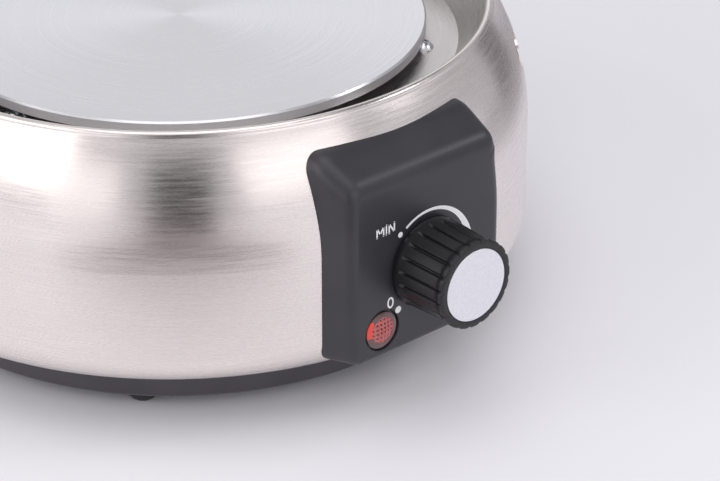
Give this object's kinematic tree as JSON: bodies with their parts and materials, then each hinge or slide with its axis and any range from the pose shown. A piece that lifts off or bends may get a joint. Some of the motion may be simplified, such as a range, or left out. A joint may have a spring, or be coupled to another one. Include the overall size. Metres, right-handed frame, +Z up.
{
  "type": "fondue set heating base",
  "caption": "Round steel electric heating base with a recessed hot plate, a side control box with a fluted knob and a pilot lamp.",
  "frame": {"origin": "centre of the circle of feet, on the plane the base stands on, on the round body's vertical axis", "axes": "+Z up along the round body's axis, -Y towards the control box's front face, +X to the right as the control box is seen from the front"},
  "size_m": [0.1986, 0.2313, 0.0879],
  "materials": {
    "shell_steel": "brushed round the body",
    "tray_steel": "fine brushed",
    "plate_metal": "cast, satin coated",
    "zinc_steel": "zinc plated",
    "dish_metal": "bright sheet",
    "fibre": "matt pressed fibre",
    "element_steel": "dull sheath",
    "cast_clamp": "as cast",
    "steatite": "matt",
    "copper": "satin copper",
    "contact_brass": "satin",
    "brown_moulding": "matt thermoset",
    "black_moulding": "fine matt grain",
    "band_moulding": "satin",
    "foot_rubber": "matt",
    "knob_moulding": "matt",
    "cap_metal": "satin",
    "lens_red": "clear red",
    "white_moulding": "matt",
    "brown_cable": "smooth",
    "black_cable": "smooth",
    "blue_cable": "smooth",
    "green_cable": "smooth",
    "grey_cable": "smooth"
  },
  "bodies": {
    "base": {"outer_shell": "shell_steel", "recess_tray": "tray_steel", "heating_plate": "plate_metal", "tray_screws": "zinc_steel", "heat_dish": "dish_metal", "insulation_disc": "fibre", "heating_element": "element_steel", "element_clamp": "cast_clamp", "clamp_screws": "zinc_steel", "element_bushings": "steatite", "plate_screws": "zinc_steel", "sensor_bulb": "copper", "bulb_clip": "zinc_steel", "capillary_tube": "copper", "thermal_cutout": "brown_moulding", "cutout_screws": "zinc_steel", "pillars": "zinc_steel", "base_pan": "band_moulding", "rubber_feet": "foot_rubber", "base_screws": "zinc_steel", "control_box": "black_moulding", "box_screws": "zinc_steel", "thermostat_frame": "zinc_steel", "thermostat_body": "brown_moulding", "thermostat_tabs": "contact_brass", "diaphragm": "copper", "neck_nut": "zinc_steel", "lamp_lens": "lens_red", "lamp_body": "white_moulding", "lamp_clip": "zinc_steel", "terminal_block": "white_moulding", "terminal_inserts": "contact_brass", "block_screws": "zinc_steel", "cord_gland": "black_moulding", "gland_nut": "black_moulding", "cord_clamp": "white_moulding", "cord_clamp_screws": "zinc_steel", "earth_tag": "contact_brass", "earth_screw": "contact_brass", "live_wire": "brown_cable", "load_wire": "black_cable", "neutral_wire": "blue_cable", "cutout_wire": "blue_cable", "earth_wire": "green_cable", "lamp_leads": "grey_cable"},
    "knob_body": {"knob": "knob_moulding", "knob_cap": "cap_metal", "knob_clip": "zinc_steel", "thermostat_shaft": "zinc_steel"},
    "plunger_body": {"adjusting_plunger": "contact_brass"}
  },
  "joints": [
    {"name": "knob_turn", "type": "hinge", "parent": "base", "child": "knob_body", "pos_m": [0, -0.1034, 0.04505], "axis": [0, 1, 0], "range_deg": [0, 270]},
    {"name": "plunger_slide", "type": "slide", "parent": "base", "child": "plunger_body", "axis": [0, 1, 0], "range_m": [0, 0.002]}
  ],
  "couplings": [
    {"joint": "knob_turn", "follows": "plunger_slide", "rad_per_m": 2356.2}
  ]
}
